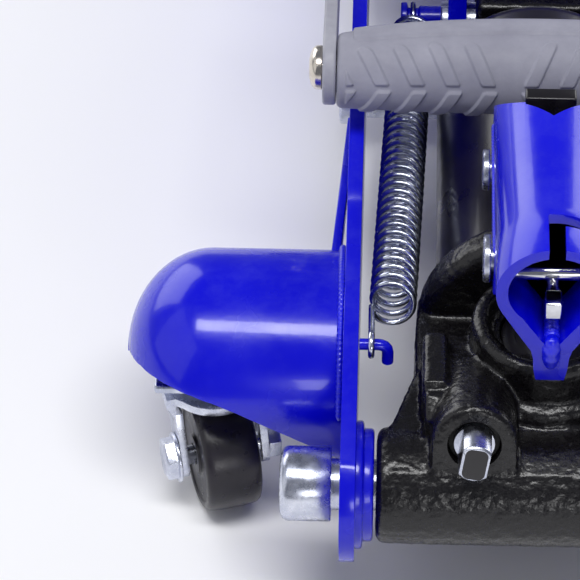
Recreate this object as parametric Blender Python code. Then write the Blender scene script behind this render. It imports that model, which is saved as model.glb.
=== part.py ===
"""Hydraulic trolley jack built as separate named sub-parts.

Millimetres are used in the constants and turned into metres by the mesh helpers.
X is across the jack, +Y is the lifting end, -Y the handle end, +Z is up.
"""
import bpy
import bmesh
from math import cos, pi, radians, sin
from mathutils import Matrix, Vector

MM = 0.001
GAP = 0.3                      # running gap between neighbouring pieces
SEG = 22                       # sides of a large round

# ---- frame ---------------------------------------------------------------
PLATE_OUT = 79.0               # outer face of each side plate
PLATE_T = 6.0
PLATE_IN = PLATE_OUT - PLATE_T
TRUNNION = (-315.0, 60.0)      # (y, z) of the power unit's cross axis
LOBE_R = 30.0
PIVOT = (-15.0, 125.0)         # lift arm pivot
ARM_PIN = (300.0, 88.0)        # front pin of the lift arm
LINK = (22.0, -12.0)           # from an arm pin to its radius rod pin
AXLE = (272.0, 39.0)           # front axle
EAR_PIN = (-43.0, 70.0)        # ram pin on the lift arm
HOOK_PIN = (-23.0, 55.0)       # spring peg on the lift arm
TIE = (-50.0, 30.0)            # cross tie bolt
CARRY = (-55.0, 125.0)         # carry handle pivot
GRIP = (-160.0, 140.0)         # carry handle grip

# ---- power unit ----------------------------------------------------------
TRUNNION_R = 21.5
TANK_Z = 72.0
TANK_R = 42.5
TANK_Y0 = -226.7
TANK_Y1 = -82.0
RAM_R = 12.0
PUMP = (-269.0, 29.5, 108.0)   # y, radius, top of the pump boss
VALVE_X = -28.0
VALVE_TILT = radians(15.0)
VALVE_FACE = (-323.4, 92.0)    # (y, z) centre of the release valve face

# ---- handle socket -------------------------------------------------------
SOCKET_Z = 155.0
SOCKET_Y0 = -305.0
SOCKET_Y1 = -222.0
SOCKET_R = 22.0
SOCKET_BORE = 17.5
SOCKET_PIN = (-211.0, 132.0)
ROLLER_PIN = (-262.0, 132.0)

# ---- rear corners --------------------------------------------------------
FENDER = (-245.0, 60.0)        # (y, z) of the mudguard barrel
FENDER_R = 43.0
SWIVEL = (-133.0, -247.0)      # (x, y) of the left caster's swivel
CASTER_YAW = radians(17.0)
CASTER_TRAIL = 17.0
CASTER_R = 24.5
SPRING_A = (-60.0, -252.0, 95.0)
SPRING_B = (-53.0, -31.0, 56.5)
SPRING_R = 8.2
PEG = (-276.0, 98.0)           # (y, z) of the rear spring pegs
WIRE_R = 1.3


def clear_scene():
    for obj in list(bpy.data.objects):
        bpy.data.objects.remove(obj, do_unlink=True)


def make_collection(name):
    col = bpy.data.collections.new(name)
    bpy.context.scene.collection.children.link(col)
    return col


def make_material(name, rgb, rough, metal):
    mat = bpy.data.materials.new(name)
    mat.use_nodes = True
    bsdf = mat.node_tree.nodes["Principled BSDF"]
    bsdf.inputs["Base Color"].default_value = (rgb[0], rgb[1], rgb[2], 1.0)
    bsdf.inputs["Roughness"].default_value = rough
    bsdf.inputs["Metallic"].default_value = metal
    mat.diffuse_color = (rgb[0], rgb[1], rgb[2], 1.0)
    return mat


clear_scene()
PARTS = make_collection("parts")
CUTTERS = make_collection("cutters")

BLUE = make_material("paint_blue", (0.005, 0.01, 0.62), 0.22, 0.0)
CAST = make_material("cast_black", (0.03, 0.022, 0.03), 0.72, 0.2)
BLACK = make_material("satin_black", (0.012, 0.01, 0.013), 0.38, 0.1)
ZINC = make_material("zinc_plate", (0.62, 0.64, 0.70), 0.32, 1.0)
CHROME = make_material("ground_steel", (0.72, 0.72, 0.74), 0.18, 1.0)
NICKEL = make_material("nickel", (0.72, 0.66, 0.58), 0.25, 1.0)
RUBBER = make_material("grey_rubber", (0.42, 0.41, 0.47), 0.7, 0.0)
STRAP = make_material("grey_strap", (0.50, 0.50, 0.54), 0.5, 0.2)
TYRE = make_material("black_nylon", (0.035, 0.03, 0.04), 0.5, 0.0)
PAD = make_material("black_rubber", (0.02, 0.02, 0.02), 0.85, 0.0)


# ---- mesh helpers --------------------------------------------------------
def place(name, bm, mat, origin=(0.0, 0.0, 0.0), col=None):
    """Make an object from millimetre geometry, with its origin at `origin`."""
    bmesh.ops.translate(bm, verts=bm.verts[:], vec=Vector(origin) * -1.0)
    bmesh.ops.scale(bm, verts=bm.verts[:], vec=(MM, MM, MM))
    bmesh.ops.recalc_face_normals(bm, faces=bm.faces[:])
    mesh = bpy.data.meshes.new(name)
    bm.to_mesh(mesh)
    bm.free()
    if mat is not None:
        mesh.materials.append(mat)
        mesh.shade_smooth()
        mesh.set_sharp_from_angle(angle=radians(32))
    obj = bpy.data.objects.new(name, mesh)
    obj.location = Vector(origin) * MM
    (col or PARTS).objects.link(obj)
    return obj


def combine(obj, bm, operation):
    """Add or remove a solid with a live exact Boolean."""
    tool = place(obj.name + "_tool", bm, None, col=CUTTERS)
    tool.hide_render = True
    tool.display_type = "WIRE"
    mod = obj.modifiers.new(operation.lower(), "BOOLEAN")
    mod.operation = operation
    mod.solver = "EXACT"
    mod.object = tool
    return obj


def add(obj, *solids):
    for bm in solids:
        combine(obj, bm, "UNION")
    return obj


def cut(obj, *solids):
    for bm in solids:
        combine(obj, bm, "DIFFERENCE")
    return obj


def block(x0, x1, y0, y1, z0, z1, soft=0.0, steps=2):
    bm = bmesh.new()
    bmesh.ops.create_cube(bm, size=1.0)
    bmesh.ops.scale(bm, verts=bm.verts[:], vec=(x1 - x0, y1 - y0, z1 - z0))
    mid = ((x0 + x1) / 2, (y0 + y1) / 2, (z0 + z1) / 2)
    bmesh.ops.translate(bm, verts=bm.verts[:], vec=mid)
    if soft > 0:
        bmesh.ops.bevel(bm, geom=bm.edges[:], offset=soft, segments=steps, profile=0.5,
                        affect="EDGES")
    return bm


def lathe(profile, origin, axis, sides=SEG, closed=False):
    """Spin (radius, distance) pairs about an axis through `origin`."""
    bm = bmesh.new()
    outline = list(profile)
    if not closed:
        if outline[0][0] > 0:
            outline.insert(0, (0.0, outline[0][1]))
        if outline[-1][0] > 0:
            outline.append((0.0, outline[-1][1]))
    verts = [bm.verts.new((radius, 0.0, along)) for radius, along in outline]
    edges = [bm.edges.new(pair) for pair in zip(verts, verts[1:])]
    if closed:
        edges.append(bm.edges.new((verts[-1], verts[0])))
    bmesh.ops.spin(bm, geom=verts + edges, cent=(0, 0, 0), axis=(0, 0, 1), dvec=(0, 0, 0),
                   angle=2 * pi, steps=sides, use_merge=True, use_duplicate=False)
    bmesh.ops.remove_doubles(bm, verts=bm.verts[:], dist=0.0005)
    turn = Vector((0, 0, 1)).rotation_difference(Vector(axis).normalized()).to_matrix()
    bmesh.ops.rotate(bm, verts=bm.verts[:], cent=(0, 0, 0), matrix=turn)
    bmesh.ops.translate(bm, verts=bm.verts[:], vec=origin)
    return bm


def rod(radius, a, b, y, z, soft=0.0, sides=SEG):
    """Cylinder along X from a to b."""
    lo, hi = min(a, b), max(a, b)
    if soft > 0:
        profile = [(radius - soft, lo), (radius, lo + soft), (radius, hi - soft), (radius - soft, hi)]
    else:
        profile = [(radius, lo), (radius, hi)]
    return lathe(profile, (0, y, z), (1, 0, 0), sides)


def post(radius, x, y, z0, z1, soft=0.0, sides=SEG):
    """Cylinder along Z."""
    if soft > 0:
        profile = [(radius, z0), (radius, z1 - soft), (radius - soft, z1)]
    else:
        profile = [(radius, z0), (radius, z1)]
    return lathe(profile, (x, y, 0), (0, 0, 1), sides)


def prism(points, axis, a, b, soft=0.0):
    """Extrude a flat outline along X (y,z), Y (x,z) or Z (x,y) from a to b."""
    bm = bmesh.new()
    verts = []
    for p, q in points:
        spot = {"X": (a, p, q), "Y": (p, a, q), "Z": (p, q, a)}[axis]
        verts.append(bm.verts.new(spot))
    face = bm.faces.new(verts)
    out = bmesh.ops.extrude_face_region(bm, geom=[face])
    moved = [g for g in out["geom"] if isinstance(g, bmesh.types.BMVert)]
    step = {"X": (b - a, 0, 0), "Y": (0, b - a, 0), "Z": (0, 0, b - a)}[axis]
    bmesh.ops.translate(bm, verts=moved, vec=step)
    if soft > 0:
        caps = [f for f in bm.faces if len(f.verts) == len(points) and len(points) > 4]
        rim = [e for e in bm.edges if sum(f in caps for f in e.link_faces) == 1]
        bmesh.ops.bevel(bm, geom=rim, offset=soft, segments=1, profile=0.5, affect="EDGES")
    return bm


def arc(centre, radius, start, stop, steps=8):
    pts = []
    for i in range(steps + 1):
        ang = radians(start + (stop - start) * i / steps)
        pts.append((centre[0] + radius * cos(ang), centre[1] + radius * sin(ang)))
    return pts


def link_outline(p, q, rp, rq, steps=8):
    """Outline of two rounds joined by straight sides (p to q)."""
    run = Vector((q[0] - p[0], q[1] - p[1]))
    base = Vector((1, 0)).angle_signed(run) if run.length else 0.0
    ang = -base * 180 / pi
    return arc(q, rq, ang - 90, ang + 90, steps) + arc(p, rp, ang + 90, ang + 270, steps)


def turn_about(bm, centre, angle):
    """Turn a solid about a vertical axis."""
    bmesh.ops.rotate(bm, verts=bm.verts[:], cent=centre, matrix=Matrix.Rotation(angle, 3, "Z"))
    return bm


def wire(name, points, radius, mat, origin=(0.0, 0.0, 0.0)):
    data = bpy.data.curves.new(name, "CURVE")
    data.dimensions = "3D"
    data.bevel_depth = radius * MM
    data.bevel_resolution = 2
    data.use_fill_caps = True
    data.render_resolution_u = 0
    spline = data.splines.new("POLY")
    spline.points.add(len(points) - 1)
    for slot, point in zip(spline.points, points):
        local = (Vector(point) - Vector(origin)) * MM
        slot.co = (local.x, local.y, local.z, 1.0)
    data.materials.append(mat)
    obj = bpy.data.objects.new(name, data)
    obj.location = Vector(origin) * MM
    PARTS.objects.link(obj)
    return obj


def side_name(base, s):
    return base + ("_left" if s < 0 else "_right")


# ---- frame ---------------------------------------------------------------
def side_plate(s):
    ty, tz = TRUNNION
    edge = arc(TRUNNION, LOBE_R, 270, 118, 14)
    edge += [(-300.0, 92.0), (-276.0, 101.0), (-250.0, 104.0), (-205.0, 104.5), (-197.0, 109.0)]
    edge += [(-100.0, 122.0), (-62.0, 139.0)]
    edge += arc(PIVOT, 27.0, 120, 62, 6)
    edge += [(60.0, 134.0), (150.0, 100.0), (230.0, 74.0)]
    edge += arc(AXLE, 27.0, 75, -75, 10)
    edge += [(200.0, 18.0), (-240.0, 26.0)]
    edge = edge[::-1]
    inner, outer = s * PLATE_IN, s * PLATE_OUT
    obj = place(side_name("side_plate", s), prism(edge, "X", inner, outer, 0.8), BLUE)
    ring = [(25.0, PLATE_OUT - 5.5), (25.0, 70.8), (24.2, 70.0), (22.0, 70.0), (22.0, 66.6), (21.2, 66.0)]
    add(obj, lathe([(r, s * d) for r, d in ring], (0, ty, tz), (1, 0, 0)))
    holes = [(TRUNNION, 10.3), (PIVOT, 11.3), (AXLE, 10.3), (TIE, 7.3), (CARRY, 5.3)]
    holes.append(((PIVOT[0] + LINK[0], PIVOT[1] + LINK[1]), 7.3))
    for (y, z), r in holes:
        cut(obj, rod(r, s * 60, s * 90, y, z, sides=14))
    return obj


def trunnion_bolt(s):
    y, z = TRUNNION
    profile = [(10.0, 47.0), (10.0, 82.5), (14.6, 82.5), (14.6, 99.5), (13.6, 101.3), (11.5, 102.3), (0, 102.6)]
    bm = lathe([(r, s * d) for r, d in profile], (0, y, z), (1, 0, 0))
    return place(side_name("trunnion_bolt", s), bm, ZINC)


def fender(s):
    y, z = FENDER
    dome = [(43.0, 79.3), (43.0, 139.5), (41.5, 146.3), (37.5, 152.4), (31.0, 158.0), (22.0, 162.6),
            (11.0, 165.3), (0, 166.0)]
    shell = lathe([(r, s * d) for r, d in dome], (0, y, z), (1, 0, 0), 28)
    obj = place(side_name("fender", s), shell, BLUE)
    hollow = [(0, 70.0), (40.0, 70.0), (40.0, 139.0), (38.6, 145.1), (34.8, 150.7), (28.6, 155.8),
              (20.0, 159.9), (9.5, 162.2), (0, 162.8)]
    cut(obj, lathe([(r, s * d) for r, d in hollow], (0, y, z), (1, 0, 0), 28))
    cut(obj, block(-200, 200, y - 1.3, y + 60, -20, 60.35))
    low = [(70.0, -20.0), (70.0, 50.0), (86.0, 53.5), (104.0, 63.0), (125.0, 73.5), (141.0, 78.0),
           (152.0, 77.5), (160.0, 73.5), (165.0, 67.0), (180.0, 67.0), (180.0, -20.0)]
    cut(obj, prism([(s * p, q) for p, q in low], "Y", y - 60, y + 0.7))
    return obj


def fender_brace(s):
    plan = [(79.3, -112.0), (80.4, -112.0), (85.8, -201.6), (82.0, -201.6), (79.3, -150.0)]
    bm = prism([(s * p, q) for p, q in plan], "Z", 60.0, 72.0)
    return place(side_name("fender_brace", s), bm, BLUE)


def spring_peg(s):
    y, z = PEG
    pts = [(s * 72.7, y, z), (s * 64.5, y, z), (s * 62.4, y, z - 0.9), (s * 61.6, y, z - 3.0), (s * 61.6, y, z - 9.0)]
    return wire(side_name("spring_peg", s), pts, 2.3, BLUE)


def frame_bolts():
    shaft = [(12.0, -84.0), (13.6, -82.5), (13.6, -79.3), (11.0, -79.3), (11.0, 79.3), (13.6, 79.3),
             (13.6, 82.5), (12.0, 84.0)]
    place("arm_pivot_shaft", lathe(shaft, (0, PIVOT[0], PIVOT[1]), (1, 0, 0)), ZINC)
    tie = [(11.0, -85.0), (12.0, -84.0), (12.0, -79.3), (7.0, -79.3), (7.0, -72.7), (9.0, -72.7),
           (9.0, 72.7), (7.0, 72.7), (7.0, 79.3), (12.0, 79.3), (12.0, 84.0), (11.0, 85.0)]
    place("frame_tie_bolt", lathe(tie, (0, TIE[0], TIE[1]), (1, 0, 0), 14), ZINC)
    axle = [(8.0, -116.5), (9.0, -115.5), (9.0, -83.0), (12.5, -83.0), (12.5, -79.3), (10.0, -79.3)]
    axle += [(r, -d) for r, d in axle[::-1]]
    place("front_axle", lathe(axle, (0, AXLE[0], AXLE[1]), (1, 0, 0), 18), ZINC)
    y, z = PIVOT[0] + LINK[0], PIVOT[1] + LINK[1]
    for s in (-1, 1):
        stub = [(7.0, 41.0), (7.0, 79.3), (9.6, 79.3), (9.6, 84.0), (8.6, 85.0)]
        bm = lathe([(r, s * d) for r, d in stub], (0, y, z), (1, 0, 0), 14)
        place(side_name("radius_pin", s), bm, ZINC)
        bolt = [(8.0, 67.5), (8.0, 72.7), (5.0, 72.7), (5.0, 79.3), (8.5, 79.3), (8.5, 84.2), (5.0, 84.2),
                (5.0, 90.3), (9.0, 90.3), (9.0, 93.0), (7.0, 94.8)]
        bm = lathe([(r, s * d) for r, d in bolt], (0, CARRY[0], CARRY[1]), (1, 0, 0), 14)
        place(side_name("carry_pivot_bolt", s), bm, ZINC)


# ---- power unit ----------------------------------------------------------
def casting():
    y, z = TRUNNION
    ends = [(18.5, -65.0), (20.6, -64.1), (21.5, -62.0), (21.5, 62.0), (20.6, 64.1), (18.5, 65.0)]
    obj = place("valve_body_casting", lathe(ends, (0, y, z), (1, 0, 0)), CAST)
    half = [(59.0, y - 12), (59.0, y + 8), (52.0, y + 24), (50.0, y + 32), (51.0, y + 60), (50.0, y + 84)]
    plan = [(-p, q) for p, q in half] + half[::-1]
    body = prism(plan, "Z", 42.0, 80.0)
    bmesh.ops.bevel(body, geom=body.edges[:], offset=5.0, segments=2, profile=0.5, affect="EDGES")
    flange = [(44.0, -241.0), (48.0, -239.0), (49.5, -236.0), (49.5, -227.0)]
    boss = [(29.5, 45.0), (29.5, 104.0), (28.6, 106.6), (26.4, 108.0), (23.8, 107.4), (22.4, 105.4), (22.0, 103.0)]
    py, pr, pz = PUMP
    out = Vector((0, -cos(VALVE_TILT), sin(VALVE_TILT)))
    face = (VALVE_X, VALVE_FACE[0], VALVE_FACE[1])
    add(obj, body)
    add(obj, lathe(flange, (0, 0, TANK_Z), (0, 1, 0), 26))
    add(obj, post(34.0, 0, py, 50.0, 88.0, 3.0, 22))
    add(obj, lathe(boss, (0, py, 0), (0, 0, 1), 26))
    add(obj, lathe([(16.5, -40.0), (16.5, -1.6), (14.9, 0.0)], face, out, 18))
    add(obj, block(-48.0, -38.0, y + 8, y + 40, 70.0, 88.0, 1.2, 1))
    arch = block(-16.4, 16.4, 0.1, 36.0, -22.0, 0.0)
    bmesh.ops.rotate(arch, verts=arch.verts[:], cent=(0, 0, 0), matrix=Matrix.Rotation(-VALVE_TILT, 3, "X"))
    bmesh.ops.translate(arch, verts=arch.verts[:], vec=face)
    add(obj, arch)
    lug = [(-239.0, 100.0), (-227.2, 100.0), (-227.2, 115.1), (-199.0, 115.3), (-199.0, 132.0)] + arc(SOCKET_PIN, 12.0, 0, 130, 6)
    lug += [(-233.0, 126.0)]
    add(obj, prism(lug, "X", -11.0, 11.0))
    cut(obj, post(18.3, 0, py, 50.0, 120.0, 0, 22))
    cut(obj, lathe([(10.2, -30.0), (10.2, 5.0)], face, out, 18))
    for s in (-1, 1):
        cut(obj, rod(10.3, s * 46, s * 70, y, z))
    cut(obj, rod(5.9, -20, 20, SOCKET_PIN[0], SOCKET_PIN[1], sides=14))
    return obj


def pump_parts():
    py = PUMP[0]
    barrel = [(18.0, 50.3), (18.0, 97.0), (16.8, 98.2), (9.0, 98.2), (9.0, 53.0), (0, 53.0)]
    place("pump_cylinder", lathe([(0, 50.3)] + barrel, (0, py, 0), (0, 0, 1)), ZINC)
    plunger = [(8.0, 54.0), (8.0, 118.6), (11.4, 118.6), (11.4, 123.2), (10.2, 124.5)]
    place("pump_plunger", lathe(plunger, (0, py, 0), (0, 0, 1), 18), CHROME, (0, py, 95.0))
    out = Vector((0, -cos(VALVE_TILT), sin(VALVE_TILT)))
    face = Vector((VALVE_X, VALVE_FACE[0], VALVE_FACE[1]))
    stem = lathe([(7.8, -29.0), (7.8, 13.2), (7.0, 14.0)], face, out, 18)
    obj = place("release_spindle", stem, ZINC, tuple(face))
    for s in (-1, 1):
        flat = block(s * 5.3, s * 12.0, -24.0, 1.0, -9.0, 9.0)
        bmesh.ops.rotate(flat, verts=flat.verts[:], cent=(0, 0, 0), matrix=Matrix.Rotation(-VALVE_TILT, 3, "X"))
        bmesh.ops.translate(flat, verts=flat.verts[:], vec=face)
        cut(obj, flat)


def tank():
    shell = [(0, TANK_Y0), (TANK_R, TANK_Y0), (TANK_R, TANK_Y1 - 7), (TANK_R - 1.6, TANK_Y1 - 2.5), (TANK_R - 5, TANK_Y1), (12.4, TANK_Y1),
             (12.4, -186.0), (0, -186.0)]
    place("reservoir_tube", lathe(shell, (0, 0, TANK_Z), (0, 1, 0), 28), BLACK)
    nut = [(16.0, -81.7), (16.0, -69.0), (15.0, -68.0), (12.4, -68.0), (12.4, -81.7)]
    place("tank_front_nut", lathe(nut, (0, 0, TANK_Z), (0, 1, 0), 18, closed=True), BLACK)
    top = TANK_Z + TANK_R
    plug = [(7.5, top + 0.3), (7.5, top + 3.5), (6.5, top + 4.5)]
    place("filler_plug", lathe(plug, (0, -140.0, 0), (0, 0, 1), 14), PAD)
    ram = [(RAM_R - 1, -180.0), (RAM_R, -179.0), (RAM_R, -62.0)]
    place("ram_rod", lathe(ram, (0, 0, TANK_Z), (0, 1, 0), 18), CHROME, (0, -62.0, TANK_Z))
    yoke = place("ram_clevis", block(-26.0, 26.0, -61.7, -26.0, 45.0, 93.0, 2.0, 1), CAST, (0, -43.0, TANK_Z))
    slot = arc((-43.0, 74.5), 9.6, 0, 180, 8) + arc((-43.0, 62.5), 9.6, 180, 360, 8)
    cut(yoke, prism(slot, "X", -40, 40))


# ---- handle socket -------------------------------------------------------
def handle_socket():
    pivot = (0, SOCKET_PIN[0], SOCKET_PIN[1])
    mid = (0, 0, SOCKET_Z)
    wall = [(SOCKET_R, SOCKET_Y0), (SOCKET_R, SOCKET_Y1)]
    obj = place("handle_socket", lathe(wall, mid, (0, 1, 0), 26), BLUE, pivot)
    half = [(5.8, 109.6), (6.8, 121.0), (7.8, 125.0), (18.4, 142.6), (18.0, 150.0)]
    add(obj, prism([(-p, q) for p, q in half[::-1]] + half, "Y", SOCKET_Y0, -281.0))
    cheek = [(-276.0, 160.0), (-276.0, 126.0), (-270.0, 121.0), (-204.0, 121.0), (-199.0, 127.0),
             (-199.0, 140.0), (-222.5, 160.0)]
    for s in (-1, 1):
        add(obj, prism(cheek, "X", s * 14.4, s * 19.2))
    cut(obj, lathe([(SOCKET_BORE, -320.0), (SOCKET_BORE, -190.0)], mid, (0, 1, 0), 26))
    cut(obj, prism([(-14.4, 146.0), (-2.5, 128.0), (2.5, 128.0), (14.4, 146.0)], "Y", -315.0, -274.0))
    cut(obj, block(-14.4, 14.4, -275.0, -190.0, 110.0, 147.0))
    cut(obj, block(-3.1, 3.1, -315.0, -285.5, 160.0, 190.0))
    cut(obj, block(-3.0, 12.0, -291.5, -285.4, 160.0, 190.0))
    cut(obj, prism([(-10.5, -221.0), (0.0, -229.5), (10.5, -221.0), (10.5, -210.0), (-10.5, -210.0)], "Z", 160, 190))
    for y, z in (SOCKET_PIN, ROLLER_PIN):
        cut(obj, rod(5.9, -40, 40, y, z, sides=14))
    cut(obj, rod(3.3, -40, 40, -285.0, 147.0, sides=16))
    ends = [(8.2, -25.7), (8.2, -23.0), (5.6, -23.0), (5.6, 23.0), (8.2, 23.0), (8.2, 25.7)]
    place("socket_pivot_pin", lathe(ends, (0,) + SOCKET_PIN, (1, 0, 0), 14), ZINC)
    ends = [(9.4, -25.7), (9.4, -23.0), (5.6, -23.0), (5.6, 23.0), (9.4, 23.0), (9.4, 25.7)]
    place("socket_roller_pin", lathe(ends, (0,) + ROLLER_PIN, (1, 0, 0), 14), ZINC, pivot)
    ring = [(5.9, -10.0), (7.1, -10.0), (7.1, 10.0), (5.9, 10.0)]
    place("pump_roller", lathe(ring, (0,) + ROLLER_PIN, (1, 0, 0), 14, closed=True), CHROME, (0,) + ROLLER_PIN)
    stop = block(-10.0, 10.0, -207.0, -200.5, 144.4, 166.0, 0.8, 1)
    place("socket_stop_plate", stop, BLACK)
    joint = place("release_coupling", rod(3.0, -19.6, 19.6, -285.0, 147.0, 0.5, 16), CHROME, pivot)
    add(joint, block(-3.1, 3.1, -302.0, -294.0, 138.6, 146.6, 0.8, 1))
    add(joint, lathe([(2.6, -297.0), (2.6, -272.0)], (0, 0, 143.2), (0, 1, 0), 12))


# ---- lifting linkage -----------------------------------------------------
def lift_arm():
    origin = (0, PIVOT[0], PIVOT[1])
    side = arc(ARM_PIN, 16.0, -97, 83, 8)
    side += [(60.0, 138.0)]
    side += arc(PIVOT, 24.0, 75, 190, 8)
    side += arc(EAR_PIN, 15.0, 165, 235, 4)
    side += arc(HOOK_PIN, 11.0, 235, 345, 5)
    side += [(4.0, 92.0), (40.0, 88.0)]
    obj = place("lift_arm", prism(side, "X", -38.0, -30.0), BLUE, origin)
    add(obj, prism(side, "X", 30.0, 38.0))
    add(obj, rod(21.0, -37.0, 37.0, PIVOT[0], PIVOT[1], 0, 18))
    web = [(2.0, 139.0), (60.0, 137.6), (250.0, 109.5), (250.0, 103.5), (60.0, 131.4), (4.0, 133.0)]
    add(obj, prism(web, "X", -34.0, 34.0))
    for s in (-1, 1):
        peg = [(5.0, 34.0), (5.0, 50.0), (4.0, 50.8), (4.0, 55.2), (6.5, 55.8), (6.5, 58.5)]
        add(obj, lathe([(r, s * d) for r, d in peg], (0,) + HOOK_PIN, (1, 0, 0), 12))
    cut(obj, rod(11.3, -50, 50, PIVOT[0], PIVOT[1], 0, 18))
    cut(obj, rod(8.2, -60, 60, EAR_PIN[0], EAR_PIN[1], 0, 14))
    cut(obj, rod(8.2, -60, 60, ARM_PIN[0], ARM_PIN[1], 0, 14))
    pin = [(7.0, -41.0), (8.0, -40.0), (8.0, 40.0), (7.0, 41.0)]
    place("ram_pin", lathe(pin, (0,) + EAR_PIN, (1, 0, 0), 14), ZINC, origin)


def carrier():
    b = (ARM_PIN[0] + LINK[0], ARM_PIN[1] + LINK[1])
    body = link_outline(ARM_PIN, b, 18.0, 11.0)
    origin = (0, ARM_PIN[0], ARM_PIN[1])
    obj = place("saddle_carrier", prism(body, "X", -27.0, 27.0), CAST, origin)
    add(obj, lathe([(18.0, 92.0), (18.0, 116.5), (17.0, 117.6), (11.0, 117.6), (11.0, 125.4)],
                   (0, ARM_PIN[0], 0), (0, 0, 1), 22))
    cut(obj, rod(8.4, -60, 60, ARM_PIN[0], ARM_PIN[1], 0, 14))
    cut(obj, rod(6.2, -60, 60, b[0], b[1], 0, 14))
    pin = [(11.0, -41.5), (11.0, -38.3), (8.0, -38.3), (8.0, 38.3), (11.0, 38.3), (11.0, 41.5)]
    place("carrier_pin", lathe(pin, (0,) + ARM_PIN, (1, 0, 0), 14), ZINC, origin)
    pin = [(9.0, -51.5), (9.0, -48.4), (6.0, -48.4), (6.0, 48.4), (9.0, 48.4), (9.0, 51.5)]
    place("radius_rod_pin", lathe(pin, (0,) + b, (1, 0, 0), 14), ZINC, origin)
    rear = (PIVOT[0] + LINK[0], PIVOT[1] + LINK[1])
    for s in (-1, 1):
        bm = prism(link_outline(rear, b, 11.0, 10.0), "X", s * 42.0, s * 48.0)
        obj = place(side_name("radius_rod", s), bm, BLUE, (0,) + rear)
        cut(obj, rod(7.3, s * 38, s * 52, rear[0], rear[1], 0, 14))
        cut(obj, rod(6.3, s * 38, s * 52, b[0], b[1], 0, 14))


def saddle():
    y = ARM_PIN[0]
    cup = [(11.4, 118.0), (30.0, 118.0), (45.0, 122.0), (45.0, 134.0), (44.0, 135.0), (40.0, 135.0),
           (38.5, 134.0), (37.5, 126.6), (11.4, 126.6)]
    obj = place("saddle", lathe(cup, (0, y, 0), (0, 0, 1), 28, closed=True), BLACK, (0, y, 118.0))
    for k in range(3):
        slot = block(-7.0, 7.0, -60.0, 60.0, 128.5, 150.0)
        bmesh.ops.rotate(slot, verts=slot.verts[:], cent=(0, 0, 0), matrix=Matrix.Rotation(k * pi / 3, 3, "Z"))
        bmesh.ops.translate(slot, verts=slot.verts[:], vec=(0, y, 0))
        cut(obj, slot)
    disc = [(0, 126.9), (36.5, 126.9), (36.5, 130.8), (35.5, 131.8), (0, 131.8)]
    place("saddle_pad", lathe(disc, (0, y, 0), (0, 0, 1), 22), PAD, (0, y, 126.9))


# ---- wheels --------------------------------------------------------------
def front_wheel(s):
    tyre = [(9.3, 84.0), (17.0, 84.0), (17.0, 86.0), (30.0, 86.0), (30.0, 84.0), (37.0, 84.0), (39.0, 87.0),
            (39.0, 109.0), (37.0, 112.0), (30.0, 112.0), (30.0, 110.0), (17.0, 110.0), (17.0, 112.0), (9.3, 112.0)]
    bm = lathe([(r, s * d) for r, d in tyre], (0,) + AXLE, (1, 0, 0), 26, closed=True)
    place(side_name("front_wheel", s), bm, TYRE, (s * 98.0,) + AXLE)
    clip = [(9.3, 112.4), (13.5, 112.4), (13.5, 115.0), (9.3, 115.0)]
    bm = lathe([(r, s * d) for r, d in clip], (0,) + AXLE, (1, 0, 0), 14, closed=True)
    place(side_name("wheel_retainer", s), bm, ZINC)


def caster(s):
    x, y = -s * SWIVEL[0], SWIVEL[1]
    wy = y - CASTER_TRAIL
    yaw = -s * CASTER_YAW
    about = (x, y, 0)
    wheel_at = Vector((x, wy, CASTER_R)) - Vector((x, y, 0))
    wheel_at = Matrix.Rotation(yaw, 3, "Z") @ wheel_at + Vector((x, y, 0))
    plate = block(min(s * 79.4, s * 154.0), max(s * 79.4, s * 154.0), y - 22, y + 26, 60.6, 64.6, 1.0, 1)
    obj = place(side_name("caster_bracket", s), plate, ZINC)
    cut(obj, post(7.4, x, y, 50.0, 80.0, 0, 14))
    crown = block(x - 19.0, x + 19.0, y - 21.0, y + 15.0, 51.5, 55.5, 1.0, 1)
    fork = place(side_name("caster_fork", s), turn_about(crown, about, yaw), ZINC, about)
    leg = [(y - 14.0, 54.5), (wy - 8.5, CASTER_R)] + arc((wy, CASTER_R), 8.5, 180, 360, 8)
    leg += [(y + 2.0, 46.0), (y + 8.0, 54.5)]
    for t in (-1, 1):
        add(fork, turn_about(prism(leg, "X", x + t * 15.2, x + t * 18.2), about, yaw))
    stem = [(16.0, 54.0), (16.0, 58.4), (14.6, 59.8), (7.0, 59.8), (7.0, 64.8), (10.5, 64.8), (10.5, 69.0), (9.0, 70.2)]
    add(fork, lathe(stem, (x, y, 0), (0, 0, 1), 18))
    hole = lathe([(4.4, -30.0), (4.4, 30.0)], (x, wy, CASTER_R), (1, 0, 0), 12)
    cut(fork, turn_about(hole, about, yaw))
    tyre = [(4.5, -11.5), (22.0, -11.5), (23.6, -10.2), (24.5, -5.0), (24.5, 5.0), (23.6, 10.2), (22.0, 11.5),
            (4.5, 11.5)]
    bm = turn_about(lathe(tyre, (x, wy, CASTER_R), (1, 0, 0), 18, closed=True), about, yaw)
    place(side_name("caster_wheel", s), bm, TYRE, tuple(wheel_at))
    spot = (x, wy, CASTER_R)
    head = [(9.0, 18.5), (9.0, 23.0), (7.9, 24.2)]
    nut = [(7.6, -18.5), (7.6, -23.0), (6.6, -24.0)]
    shank = lathe([(4.1, s * -20.0), (4.1, s * 20.0)], spot, (1, 0, 0), 14)
    obj = place(side_name("caster_bolt", s), turn_about(shank, about, yaw), ZINC, tuple(wheel_at))
    for shape in (head, nut):
        six = lathe([(r, s * d) for r, d in shape], spot, (1, 0, 0), 6)
        add(obj, turn_about(six, about, yaw))


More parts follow.
